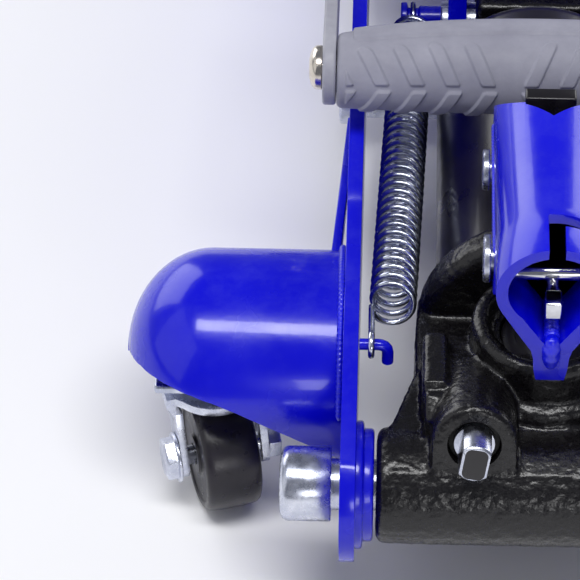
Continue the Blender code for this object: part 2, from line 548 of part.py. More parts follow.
# ---- springs and carry handle --------------------------------------------
def return_spring(s):
    a = Vector((-s * SPRING_A[0], SPRING_A[1], SPRING_A[2]))
    b = Vector((-s * SPRING_B[0], SPRING_B[1], SPRING_B[2]))
    axis = (b - a).normalized()
    side = axis.cross(Vector((0, 0, 1))).normalized()
    up = side.cross(axis)
    peg = Vector((s * 68.0, PEG[0], PEG[1]))
    hook = Vector((b.x, HOOK_PIN[0], HOOK_PIN[1]))
    pts = []
    for i in range(9):
        ang = radians(20 + i * 38.0)
        pts.append(peg + Vector((0, cos(ang) * 4.4, sin(ang) * 4.4)))
    pts.append(a + axis * -7.0 + side * (s * 7.6) + up * -2.0)
    turns = 15
    steps = turns * 8
    for i in range(steps + 1):
        ang = 2 * pi * i / 8 + s * pi / 2
        reach = SPRING_R * min(1.0, (steps - i + 3) / 9.0)
        centre = a.lerp(b, i / steps)
        pts.append(centre + side * (reach * sin(ang)) + up * (-reach * cos(ang)))
    grip_r = 5.7
    for i in range(9):
        ang = radians(200 - i * 33.0)
        pts.append(hook + Vector((0, cos(ang) * grip_r, sin(ang) * grip_r)))
    return wire(side_name("return_spring", s), [tuple(p) for p in pts], WIRE_R, ZINC)


def carry_handle():
    pivot = (0,) + CARRY
    for s in (-1, 1):
        strap = prism(link_outline(CARRY, GRIP, 12.5, 15.0), "X", s * 84.6, s * 90.0, 0.8)
        obj = place(side_name("carry_arm", s), strap, STRAP, pivot)
        cut(obj, rod(5.4, s * 80, s * 95, CARRY[0], CARRY[1], 0, 14))
        cut(obj, rod(4.4, s * 80, s * 95, GRIP[0], GRIP[1], 0, 12))
        screw = [(4.1, 70.0), (4.1, 90.3), (9.0, 90.3), (9.0, 92.6), (7.6, 94.4), (4.5, 95.4), (0, 95.7)]
        bm = lathe([(r, s * d) for r, d in screw], (0,) + GRIP, (1, 0, 0), 14)
        place(side_name("grip_screw", s), bm, NICKEL, pivot)
    barrel = [(14.6, 84.3), (15.6, 83.0), (17.4, 60.0), (18.6, 34.0), (19.0, 10.0)]
    bore = [(0, 69.0), (4.4, 69.0), (4.4, 84.3)]
    half = bore + barrel
    profile = [(r, -d) for r, d in half] + half[::-1]
    place("carry_grip", lathe(profile, (0,) + GRIP, (1, 0, 0), 22), RUBBER, pivot)


def build():
    for s in (-1, 1):
        side_plate(s)
        trunnion_bolt(s)
        fender(s)
        fender_brace(s)
        spring_peg(s)
        return_spring(s)
        front_wheel(s)
        caster(s)
    frame_bolts()
    casting()
    pump_parts()
    tank()
    handle_socket()
    lift_arm()
    carrier()
    saddle()
    carry_handle()


build()
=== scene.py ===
"""Looks for the trolley jack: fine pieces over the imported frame, materials, light and camera.

Lengths in the helpers are millimetres in the row frame, scaled to metres when a mesh is made.
"""
from math import cos, pi, radians, sin, sqrt

import bmesh
import bpy
import numpy as np
from mathutils import Matrix, Vector, noise


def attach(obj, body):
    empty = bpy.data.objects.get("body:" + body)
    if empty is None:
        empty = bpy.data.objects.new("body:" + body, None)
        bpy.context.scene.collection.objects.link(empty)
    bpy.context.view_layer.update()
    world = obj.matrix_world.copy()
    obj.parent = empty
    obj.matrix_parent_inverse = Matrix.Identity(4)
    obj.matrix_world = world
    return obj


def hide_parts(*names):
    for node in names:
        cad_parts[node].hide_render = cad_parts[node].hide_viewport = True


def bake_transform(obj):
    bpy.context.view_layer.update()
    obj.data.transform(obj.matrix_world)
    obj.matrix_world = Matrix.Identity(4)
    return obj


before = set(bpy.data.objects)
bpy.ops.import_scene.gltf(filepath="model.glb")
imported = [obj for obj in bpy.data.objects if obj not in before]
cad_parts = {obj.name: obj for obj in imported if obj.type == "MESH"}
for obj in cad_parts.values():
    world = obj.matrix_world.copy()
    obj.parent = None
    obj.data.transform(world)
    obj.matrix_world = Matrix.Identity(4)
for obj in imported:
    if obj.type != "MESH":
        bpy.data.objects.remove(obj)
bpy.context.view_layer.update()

MM = 0.001

TRUNNION = (-315.0, 60.0)
PIVOT = (-15.0, 125.0)
ARM_PIN = (300.0, 88.0)
LINK = (22.0, -12.0)
ROD_FRONT = (ARM_PIN[0] + LINK[0], ARM_PIN[1] + LINK[1])
ROD_REAR = (PIVOT[0] + LINK[0], PIVOT[1] + LINK[1])
AXLE = (272.0, 39.0)
EAR_PIN = (-43.0, 70.0)
HOOK_PIN = (-23.0, 55.0)
TIE = (-50.0, 30.0)
CARRY = (-55.0, 125.0)
GRIP = (-160.0, 140.0)
GRIP_HALF = 84.3
TANK_Z = 72.0
PUMP_Y = -269.0
VALVE = (-28.0, -323.4, 92.0)
VALVE_TILT = radians(15.0)
SPINDLE_ROLL = radians(9.0)
SOCKET_Z = 155.0
SOCKET_PIN = (-211.0, 132.0)
ROLLER_PIN = (-262.0, 132.0)
SOCKET_R = 22.0
SOCKET_BORE = 17.5
FENDER = (-245.0, 60.0)
SWIVEL = (133.0, -247.0)
YAW = radians(17.0)
CASTER_R = 24.5
SPRING_A = (60.0, -252.0, 95.0)
SPRING_B = (53.0, -31.0, 56.5)
SPRING_R = 8.2
SPRING_TURNS = 36
WIRE_R = 1.3
PEG = (-276.0, 98.0)
BEVEL_FROM = radians(34)     # edges sharper than this are softened
WELD_STEP = 0.35             # spacing of a weld bead's rings
SAME_POINT = 2e-6            # metres: closer points are merged after a Boolean


# ---- materials -------------------------------------------------------------
class Mat:
    """A node material built a step at a time."""

    def __init__(self, name, color, rough, metal=0.0):
        self.mat = bpy.data.materials.new(name + "_look")
        self.mat.use_nodes = True
        self.nt = self.mat.node_tree
        self.b = self.nt.nodes["Principled BSDF"]
        self.b.inputs["Base Color"].default_value = (*color, 1)
        self.b.inputs["Roughness"].default_value = rough
        self.b.inputs["Metallic"].default_value = metal
        self.coord = self.nt.nodes.new("ShaderNodeTexCoord").outputs["Object"]
        self.height = None
        self.mat.diffuse_color = (*color, 1)

    def link(self, a, b):
        self.nt.links.new(a, b)

    def noise(self, scale, detail=3.0, rough=0.5, stretch=None):
        n = self.nt.nodes.new("ShaderNodeTexNoise")
        n.inputs["Scale"].default_value = scale
        n.inputs["Detail"].default_value = detail
        n.inputs["Roughness"].default_value = rough
        if stretch:
            m = self.nt.nodes.new("ShaderNodeMapping")
            m.inputs["Scale"].default_value = stretch
            self.link(self.coord, m.inputs["Vector"])
            self.link(m.outputs["Vector"], n.inputs["Vector"])
        else:
            self.link(self.coord, n.inputs["Vector"])
        return n.outputs["Fac"]

    def ramp(self, fac, lo, hi, a=0.0, b=1.0):
        n = self.nt.nodes.new("ShaderNodeMapRange")
        n.inputs["From Min"].default_value = lo
        n.inputs["From Max"].default_value = hi
        n.inputs["To Min"].default_value = a
        n.inputs["To Max"].default_value = b
        self.link(fac, n.inputs["Value"])
        return n.outputs["Result"]

    def math(self, op, x, y):
        n = self.nt.nodes.new("ShaderNodeMath")
        n.operation = op
        for slot, v in zip(n.inputs, (x, y)):
            if isinstance(v, (int, float)):
                slot.default_value = v
            else:
                self.link(v, slot)
        return n.outputs[0]

    def mix(self, fac, c1, c2):
        n = self.nt.nodes.new("ShaderNodeMix")
        n.data_type = "RGBA"
        self.link(fac, n.inputs[0])
        for slot, c in ((n.inputs[6], c1), (n.inputs[7], c2)):
            if isinstance(c, tuple):
                slot.default_value = (*c, 1)
            else:
                self.link(c, slot)
        return n.outputs[2]

    def up(self):
        """How much the surface faces up, 0 to 1."""
        g = self.nt.nodes.new("ShaderNodeNewGeometry")
        s = self.nt.nodes.new("ShaderNodeSeparateXYZ")
        self.link(g.outputs["Normal"], s.inputs[0])
        return self.ramp(s.outputs["Z"], 0.35, 1.0)

    def color(self, out):
        self.link(out, self.b.inputs["Base Color"])

    def rough(self, out):
        self.link(out, self.b.inputs["Roughness"])

    def bump(self, height, strength, distance):
        n = self.nt.nodes.new("ShaderNodeBump")
        n.inputs["Strength"].default_value = strength
        n.inputs["Distance"].default_value = distance
        self.link(height, n.inputs["Height"])
        if self.height is not None:
            self.link(self.height, n.inputs["Normal"])
        self.height = n.outputs["Normal"]
        self.link(self.height, self.b.inputs["Normal"])

    def coat(self, weight, rough):
        self.b.inputs["Coat Weight"].default_value = weight
        self.b.inputs["Coat Roughness"].default_value = rough


def paint():
    m = Mat("paint_blue", (0.0, 0.0, 0.6), 0.3)
    wide = m.ramp(m.noise(9, 4), 0.35, 0.7)
    base = m.mix(wide, (0.0003, 0.0004, 0.50), (0.001, 0.0015, 0.64))
    dust = m.math("MULTIPLY", m.up(), m.ramp(m.noise(70, 6, 0.7), 0.45, 0.9, 0.0, 0.10))
    m.color(m.mix(dust, base, (0.22, 0.24, 0.62)))
    m.rough(m.ramp(m.noise(40, 4), 0.3, 0.7, 0.16, 0.30))
    m.bump(m.noise(420, 2), 0.10, 0.0004)
    m.bump(m.noise(28, 2), 0.05, 0.002)
    m.b.inputs["IOR"].default_value = 1.42
    m.coat(0.3, 0.05)
    return m.mat


def cast():
    m = Mat("cast_black", (0.02, 0.015, 0.02), 0.5)
    grain = m.noise(900, 4, 0.65)
    spots = m.ramp(m.noise(1500, 3), 0.60, 0.78)
    m.color(m.mix(spots, (0.0025, 0.002, 0.0028), (0.02, 0.017, 0.022)))
    m.rough(m.ramp(grain, 0.3, 0.7, 0.22, 0.36))
    m.bump(m.noise(170, 3, 0.5), 0.55, 0.0012)
    m.bump(m.noise(520, 2, 0.5), 0.30, 0.0005)
    m.b.inputs["Specular IOR Level"].default_value = 0.50
    return m.mat


def satin(name, color, rough):
    m = Mat(name, color, rough)
    m.color(m.mix(m.ramp(m.noise(14, 3), 0.35, 0.7), color, tuple(c * 1.7 for c in color)))
    m.rough(m.ramp(m.noise(60, 4), 0.3, 0.7, rough * 0.8, rough * 1.25))
    m.bump(m.noise(500, 2), 0.06, 0.0004)
    m.coat(0.25, 0.12)
    return m.mat


def zinc(name, dark, light, rough, stretch=None):
    m = Mat(name, light, rough, 1.0)
    blot = m.ramp(m.noise(90, 5, 0.6), 0.35, 0.68)
    m.color(m.mix(blot, dark, light))
    m.rough(m.ramp(m.noise(260, 4, 0.6), 0.3, 0.7, rough * 0.75, rough * 1.35))
    m.bump(m.noise(700, 3, 0.5, stretch), 0.06, 0.0002)
    return m.mat


def rubber(name, dark, light, rough):
    m = Mat(name, light, rough)
    m.color(m.mix(m.ramp(m.noise(55, 5, 0.65), 0.32, 0.7), dark, light))
    m.rough(m.ramp(m.noise(180, 4), 0.3, 0.7, rough * 0.85, min(1.0, rough * 1.15)))
    m.bump(m.noise(1300, 3), 0.18, 0.0003)
    m.b.inputs["Specular IOR Level"].default_value = 0.38
    return m.mat


BLUE = paint()
CAST = cast()
BLACK = satin("satin_black", (0.004, 0.003, 0.0045), 0.30)
ZINC = zinc("zinc_plate", (0.46, 0.49, 0.60), (0.78, 0.80, 0.88), 0.27)
SPRING = zinc("spring_zinc", (0.42, 0.45, 0.56), (0.72, 0.75, 0.86), 0.22)
CHROME = zinc("ground_steel", (0.60, 0.60, 0.63), (0.80, 0.80, 0.82), 0.14, (1, 12, 1))
NICKEL = zinc("nickel", (0.58, 0.52, 0.44), (0.82, 0.77, 0.70), 0.22)
GREY = rubber("grey_rubber", (0.235, 0.235, 0.29), (0.30, 0.30, 0.36), 0.60)
STRAP = rubber("grey_strap", (0.27, 0.27, 0.32), (0.36, 0.36, 0.41), 0.45)
TYRE = rubber("black_nylon", (0.008, 0.007, 0.011), (0.024, 0.021, 0.028), 0.30)
PAD = rubber("black_rubber", (0.012, 0.012, 0.012), (0.03, 0.03, 0.03), 0.8)
WELD = satin("weld_paint", (0.002, 0.004, 0.50), 0.34)


# ---- mesh helpers ------------------------------------------------------------
def finish(name, bm, mat, body=None, nodes=(), bevel=0.0, angle=32, steps=2):
    bmesh.ops.recalc_face_normals(bm, faces=bm.faces[:])
    bmesh.ops.scale(bm, verts=bm.verts[:], vec=(MM, MM, MM))
    me = bpy.data.meshes.new(name)
    bm.to_mesh(me)
    bm.free()
    return wrap(name, me, mat, body, nodes, bevel, angle, steps)


def wrap(name, me, mat, body=None, nodes=(), bevel=0.0, angle=32, steps=2):
    obj = bpy.data.objects.new(name, me)
    bpy.context.scene.collection.objects.link(obj)
    if bevel > 0:
        mod = obj.modifiers.new("edge", "BEVEL")
        mod.width = bevel * MM
        mod.segments = steps
        mod.limit_method = "ANGLE"
        mod.angle_limit = BEVEL_FROM
        obj.data = bake(obj)
        obj.modifiers.clear()
    obj.data.materials.clear()
    obj.data.materials.append(mat)
    obj.data.shade_smooth()
    obj.data.set_sharp_from_angle(angle=radians(angle))
    if body:
        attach(obj, body)
    if nodes:
        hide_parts(*nodes)
    return obj


def bake(obj):
    bpy.context.view_layer.update()
    dg = bpy.context.evaluated_depsgraph_get()
    return bpy.data.meshes.new_from_object(obj.evaluated_get(dg))


def fused(parts, cuts, voxel, relax):
    """Melt overlapping solids into one casting with soft corners, then bore the cuts."""
    whole = bmesh.new()
    for bm in parts:
        bmesh.ops.recalc_face_normals(bm, faces=bm.faces[:])
        me = bpy.data.meshes.new("tmp")
        bm.to_mesh(me)
        bm.free()
        whole.from_mesh(me)
        bpy.data.meshes.remove(me)
    bmesh.ops.scale(whole, verts=whole.verts[:], vec=(MM, MM, MM))
    me = bpy.data.meshes.new("tmp")
    whole.to_mesh(me)
    whole.free()
    obj = bpy.data.objects.new("tmp", me)
    bpy.context.scene.collection.objects.link(obj)
    mod = obj.modifiers.new("remesh", "REMESH")
    mod.mode = "VOXEL"
    mod.voxel_size = voxel * MM
    mod = obj.modifiers.new("relax", "SMOOTH")
    mod.factor = 0.5
    mod.iterations = relax
    me = bake(obj)
    bpy.data.objects.remove(obj, do_unlink=True)
    base = bmesh.new()
    base.from_mesh(me)
    for v in base.verts:
        p = v.co / MM
        v.co += v.normal * MM * (0.20 * noise.noise(p * 0.42) + 0.13 * noise.noise(p * 0.9))
    bmesh.ops.scale(base, verts=base.verts[:], vec=(1 / MM, 1 / MM, 1 / MM))
    return solid(base, (), cuts)


def solid(base, adds=(), cuts=()):
    """Join and cut bmesh solids one at a time, and hand back one clean mesh in metres."""
    def as_obj(bm):
        bmesh.ops.recalc_face_normals(bm, faces=bm.faces[:])
        bmesh.ops.scale(bm, verts=bm.verts[:], vec=(MM, MM, MM))
        me = bpy.data.meshes.new("tmp")
        bm.to_mesh(me)
        bm.free()
        o = bpy.data.objects.new("tmp", me)
        bpy.context.scene.collection.objects.link(o)
        return o
    obj = as_obj(base)
    for group, op in ((adds, "UNION"), (cuts, "DIFFERENCE")):
        for bm in group:
            tool = as_obj(bm)
            mod = obj.modifiers.new(op, "BOOLEAN")
            mod.operation = op
            mod.solver = "EXACT"
            mod.object = tool
            me = bake(obj)
            obj.modifiers.clear()
            obj.data = me
            bpy.data.objects.remove(tool, do_unlink=True)
            part = bmesh.new()
            part.from_mesh(me)
            bmesh.ops.remove_doubles(part, verts=part.verts[:], dist=SAME_POINT)
            bmesh.ops.dissolve_degenerate(part, edges=part.edges[:], dist=SAME_POINT)
            part.to_mesh(me)
            part.free()
    me = obj.data
    bpy.data.objects.remove(obj, do_unlink=True)
    return me


def block(x0, x1, y0, y1, z0, z1, soft=0.0, steps=3):
    bm = bmesh.new()
    bmesh.ops.create_cube(bm, size=1.0)
    bmesh.ops.scale(bm, verts=bm.verts[:], vec=(x1 - x0, y1 - y0, z1 - z0))
    bmesh.ops.translate(bm, verts=bm.verts[:], vec=((x0 + x1) / 2, (y0 + y1) / 2, (z0 + z1) / 2))
    if soft > 0:
        bmesh.ops.bevel(bm, geom=bm.edges[:], offset=soft, segments=steps, profile=0.5, affect="EDGES")
    return bm


def lathe(profile, origin, axis, sides=64, closed=False):
    """Spin (radius, distance) points about an axis; an open profile is capped at the axis."""
    bm = bmesh.new()
    outline = list(profile)
    if not closed:
        if outline[0][0] > 0:
            outline.insert(0, (0.0, outline[0][1]))
        if outline[-1][0] > 0:
            outline.append((0.0, outline[-1][1]))
    verts = [bm.verts.new((r, 0.0, d)) for r, d in outline]
    edges = [bm.edges.new(pair) for pair in zip(verts, verts[1:])]
    if closed:
        edges.append(bm.edges.new((verts[-1], verts[0])))
    bmesh.ops.spin(bm, geom=verts + edges, cent=(0, 0, 0), axis=(0, 0, 1), dvec=(0, 0, 0),
                   angle=2 * pi, steps=sides, use_merge=True, use_duplicate=False)
    bmesh.ops.remove_doubles(bm, verts=bm.verts[:], dist=0.0005)
    turn = Vector((0, 0, 1)).rotation_difference(Vector(axis).normalized()).to_matrix()
    bmesh.ops.rotate(bm, verts=bm.verts[:], cent=(0, 0, 0), matrix=turn)
    bmesh.ops.translate(bm, verts=bm.verts[:], vec=origin)
    return bm


def rod(radius, a, b, y, z, soft=0.0, sides=48):
    """A cylinder along X from a to b, with softened ends if asked."""
    lo, hi = min(a, b), max(a, b)
    pts = [(radius, lo), (radius, hi)]
    if soft > 0:
        pts = [(radius - soft, lo), (radius - soft * 0.3, lo + soft * 0.3), (radius, lo + soft),
               (radius, hi - soft), (radius - soft * 0.3, hi - soft * 0.3), (radius - soft, hi)]
    return lathe(pts, (0, y, z), (1, 0, 0), sides)


def post(radius, x, y, z0, z1):
    """A plain upright cylinder, used to bore holes."""
    return lathe([(radius, z0), (radius, z1)], (x, y, 0), (0, 0, 1))


def prism(points, axis, a, b):
    """An outline pushed along an axis from a to b; a point that repeats the one before is left out."""
    bm = bmesh.new()
    verts = []
    for i, (p, q) in enumerate(points):
        if abs(p - points[i - 1][0]) + abs(q - points[i - 1][1]) > 1e-4:
            verts.append(bm.verts.new({"X": (a, p, q), "Y": (p, a, q), "Z": (p, q, a)}[axis]))
    face = bm.faces.new(verts)
    out = bmesh.ops.extrude_face_region(bm, geom=[face])
    moved = [g for g in out["geom"] if isinstance(g, bmesh.types.BMVert)]
    push = {"X": (b - a, 0, 0), "Y": (0, b - a, 0), "Z": (0, 0, b - a)}[axis]
    bmesh.ops.translate(bm, verts=moved, vec=push)
    return bm


def arc(centre, radius, start, stop, steps=20):
    """Points round a centre, from one angle to another in degrees."""
    angles = [radians(start + (stop - start) * i / steps) for i in range(steps + 1)]
    return [(centre[0] + radius * cos(t), centre[1] + radius * sin(t)) for t in angles]


def link_outline(p, q, rp, rq, steps=20):
    """Outline of a bar with a round end about each of two pins."""
    run = Vector((q[0] - p[0], q[1] - p[1]))
    ang = -Vector((1, 0)).angle_signed(run) * 180 / pi
    return arc(q, rq, ang - 90, ang + 90, steps) + arc(p, rp, ang + 90, ang + 270, steps)


def spun(bm, centre, angle):
    """Turn a shape about an upright axis."""
    bmesh.ops.rotate(bm, verts=bm.verts[:], cent=centre, matrix=Matrix.Rotation(angle, 3, "Z"))
    return bm


def sweep(points, radius, sides=10):
    """A round bar along a path; radius may be a number or a function of the point's index."""
    pts = [Vector(p) for p in points]
    bm = bmesh.new()
    rings = []
    up = None
    for i, p in enumerate(pts):
        t = (pts[min(i + 1, len(pts) - 1)] - pts[max(i - 1, 0)]).normalized()
        if up is None:
            up = t.orthogonal().normalized()
        up = (up - t * up.dot(t)).normalized()
        side = t.cross(up)
        r = radius(i) if callable(radius) else radius
        turns = [2 * pi * k / sides for k in range(sides)]
        rings.append([bm.verts.new(p + up * (r * cos(k)) + side * (r * sin(k))) for k in turns])
    for a, b in zip(rings, rings[1:]):
        for k in range(sides):
            j = (k + 1) % sides
            bm.faces.new((a[k], a[j], b[j], b[k]))
    bm.faces.new(rings[0])
    bm.faces.new(rings[-1])
    return bm


def bead(name, points, radius, body):
    """A rippled weld bead along a few points."""
    pts = []
    for a, b in zip(points, points[1:]):
        a, b = Vector(a), Vector(b)
        n = max(2, int((b - a).length / WELD_STEP))
        pts += [a.lerp(b, i / n) for i in range(n)]
    pts.append(Vector(points[-1]))
    last = len(pts) - 1
    r = lambda i: radius * (1 + 0.16 * sin(i * 1.15) ** 3) * min(1, 0.35 + 0.2 * i,
                                                                 0.35 + 0.2 * (last - i))
    return finish(name, sweep(pts, r), WELD, body, angle=60)


def mirrored(half):
    """A lathe profile and its mirror image about the middle plane, as one outline."""
    return half + [(r, -d) for r, d in half[::-1]]


def side_name(base, s):
    return base + ("_left" if s < 0 else "_right")


def x_lathe(profile, y, z, s=1, sides=56, closed=False):
    return lathe([(r, s * d) for r, d in profile], (0, y, z), (1, 0, 0), sides, closed)


# ---- frame -------------------------------------------------------------------
def side_plate(s):
    edge = arc(TRUNNION, 30.0, 270, 118, 40)
    edge += [(-300.0, 92.0), (-276.0, 101.0), (-262.0, 103.4), (-250.0, 104.0), (-205.0, 104.5),
             (-201.0, 106.0), (-197.0, 109.0), (-100.0, 122.0), (-62.0, 139.0)]
    edge += arc(PIVOT, 27.0, 120, 62, 14)
    edge += [(60.0, 134.0), (150.0, 100.0), (230.0, 74.0)]
    edge += arc(AXLE, 27.0, 75, -75, 28)
    edge += [(200.0, 18.0), (-240.0, 26.0)]
    body = prism(edge[::-1], "X", s * 73.0, s * 79.0)
    y, z = TRUNNION
    ring = [(25.0, 74.0), (25.0, 71.0), (24.6, 70.3), (23.8, 70.0), (22.4, 70.0), (22.0, 69.6),
            (22.0, 67.2), (21.6, 66.4), (20.8, 66.0)]
    cuts = [rod(r, s * 60, s * 90, a, b, sides=40) for (a, b), r in
            ((TRUNNION, 10.3), (PIVOT, 11.3), (AXLE, 10.3), (TIE, 7.3), (CARRY, 5.3),
             (ROD_REAR, 7.3))]
    me = solid(body, [x_lathe(ring, y, z, s, 80)], cuts)
    node = side_name("side_plate", s)
    wrap("v_" + node, me, BLUE, "frame", [node], bevel=0.7, steps=3)


def bolt_head(s):
    y, z = TRUNNION
    prof = [(10.0, 47.0), (10.0, 82.5), (14.2, 82.5), (14.6, 82.9), (14.6, 98.8), (14.4, 100.0),
            (13.8, 101.0), (12.6, 101.8), (11.0, 102.3), (6.0, 102.6), (0, 102.6)]
    node = side_name("trunnion_bolt", s)
    finish("v_" + node, x_lathe(prof, y, z, s, 72), ZINC, "frame", [node], angle=50)


def fender(s):
    """Pressed dome over a rear caster, with its weld to the side plate."""
    y, z = FENDER
    span = [i / 24 for i in range(25)]

    def bowl(radius, reach):
        return [(radius * cos(t * pi / 2) ** 0.92, 132.0 + reach * sin(t * pi / 2) ** 1.04) for t in span]

    dome = [(43.0, 79.3)] + bowl(43.0, 34.0)
    hollow = [(0, 70.0), (40.0, 70.0)] + bowl(40.0, 30.8)
    low = [(70.0, -20.0), (70.0, 36.0), (80.0, 41.0), (90.0, 51.0), (100.0, 57.8), (110.0, 63.6),
           (120.0, 68.9), (130.0, 73.2), (138.0, 75.6), (146.0, 76.6), (153.0, 76.3), (159.0, 74.9),
           (163.0, 72.2), (166.5, 67.5), (180.0, 67.0), (180.0, -20.0)]
    cuts = [x_lathe(hollow, y, z, s, 96), block(-200, 200, y - 1.3, y + 60, -20, 60.35),
            prism([(s * p, q) for p, q in low], "Y", y - 60, y + 0.7)]
    me = solid(x_lathe(dome, y, z, s, 112), (), cuts)
    node = side_name("fender", s)
    wrap("v_" + node, me, BLUE, "frame", [node], bevel=0.6, steps=3, angle=40)
    rim = [(s * 80.2, y + 43.6 * cos(radians(a)), z + 43.6 * sin(radians(a))) for a in range(8, 173, 3)]
    bead(side_name("fender_weld", s), rim, 1.3, "frame")


def small_frame():
    """Shafts, bolts, pins, pegs, braces and caster brackets that belong to the frame."""
    shaft = [(12.0, 84.0), (13.0, 83.4), (13.6, 82.4), (13.6, 79.3), (11.0, 79.3)]
    finish("v_arm_pivot_shaft", x_lathe(mirrored(shaft), *PIVOT), ZINC, "frame", ["arm_pivot_shaft"])
    tie = [(10.6, 85.0), (11.6, 84.6), (12.0, 84.0), (12.0, 79.3), (7.0, 79.3), (7.0, 72.7), (9.0, 72.7)]
    finish("v_frame_tie_bolt", x_lathe(mirrored(tie), *TIE), ZINC, "frame", ["frame_tie_bolt"])
    axle = [(7.6, 116.5), (8.6, 116.1), (9.0, 115.3), (9.0, 83.0), (12.5, 83.0), (12.5, 79.3),
            (10.0, 79.3)]
    finish("v_front_axle", x_lathe(mirrored(axle), *AXLE), ZINC, "frame", ["front_axle"])
    for s in (-1, 1):
        stub = [(7.0, 41.0), (7.0, 79.3), (9.6, 79.3), (9.6, 83.6), (9.2, 84.5), (8.4, 85.0)]
        node = side_name("radius_pin", s)
        finish("v_" + node, x_lathe(stub, *ROD_REAR, s), ZINC, "frame", [node])
        bolt = [(7.8, 67.5), (8.0, 67.9), (8.0, 72.7), (5.0, 72.7), (5.0, 79.3), (8.5, 79.3), (8.5, 84.2),
                (5.0, 84.2), (5.0, 90.3), (9.0, 90.3), (9.0, 92.4), (8.5, 93.6), (7.4, 94.4), (5.5, 94.8)]
        node = side_name("carry_pivot_bolt", s)
        finish("v_" + node, x_lathe(bolt, *CARRY, s), ZINC, "frame", [node])
        clip = [(9.3, 112.4), (13.1, 112.4), (13.5, 112.8), (13.5, 114.6), (13.1, 115.0), (9.3, 115.0)]
        node = side_name("wheel_retainer", s)
        finish("v_" + node, x_lathe(clip, *AXLE, s, closed=True), ZINC, "frame", [node])
        py, pz = PEG
        pts = [(s * 72.7, py, pz), (s * 66.0, py, pz), (s * 64.2, py, pz - 0.2), (s * 62.8, py, pz - 0.9),
               (s * 61.9, py, pz - 2.2), (s * 61.6, py, pz - 4.0), (s * 61.6, py, pz - 9.0)]
        node = side_name("spring_peg", s)
        finish("v_" + node, sweep(pts, 2.3, 20), BLUE, "frame", [node], angle=50)
        node = side_name("fender_brace", s)
        plan = [(79.3, -112.0), (80.4, -112.0), (85.8, -201.6), (82.0, -201.6), (79.3, -150.0)]
        finish("v_" + node, prism([(s * p, q) for p, q in plan], "Z", 60.0, 72.0), BLUE, "frame", [node],
               bevel=0.5)
        node = side_name("caster_bracket", s)
        x0, x1 = sorted((s * 79.4, s * 154.0))
        me = solid(block(x0, x1, SWIVEL[1] - 22, SWIVEL[1] + 26, 60.6, 64.6, 1.2),
                   (), [post(7.4, s * SWIVEL[0], SWIVEL[1], 50, 80)])
        wrap("v_" + node, me, ZINC, "frame", [node])


# ---- power unit --------------------------------------------------------------
def on_valve(bm, roll=0.0):
    """Roll a shape about the release valve's axis and set it on the tilted valve face."""
    for angle, axis in ((roll, "Y"), (-VALVE_TILT, "X")):
        if angle:
            turn = Matrix.Rotation(angle, 3, axis)
            bmesh.ops.rotate(bm, verts=bm.verts[:], cent=(0, 0, 0), matrix=turn)
    bmesh.ops.translate(bm, verts=bm.verts[:], vec=VALVE)
    return bm


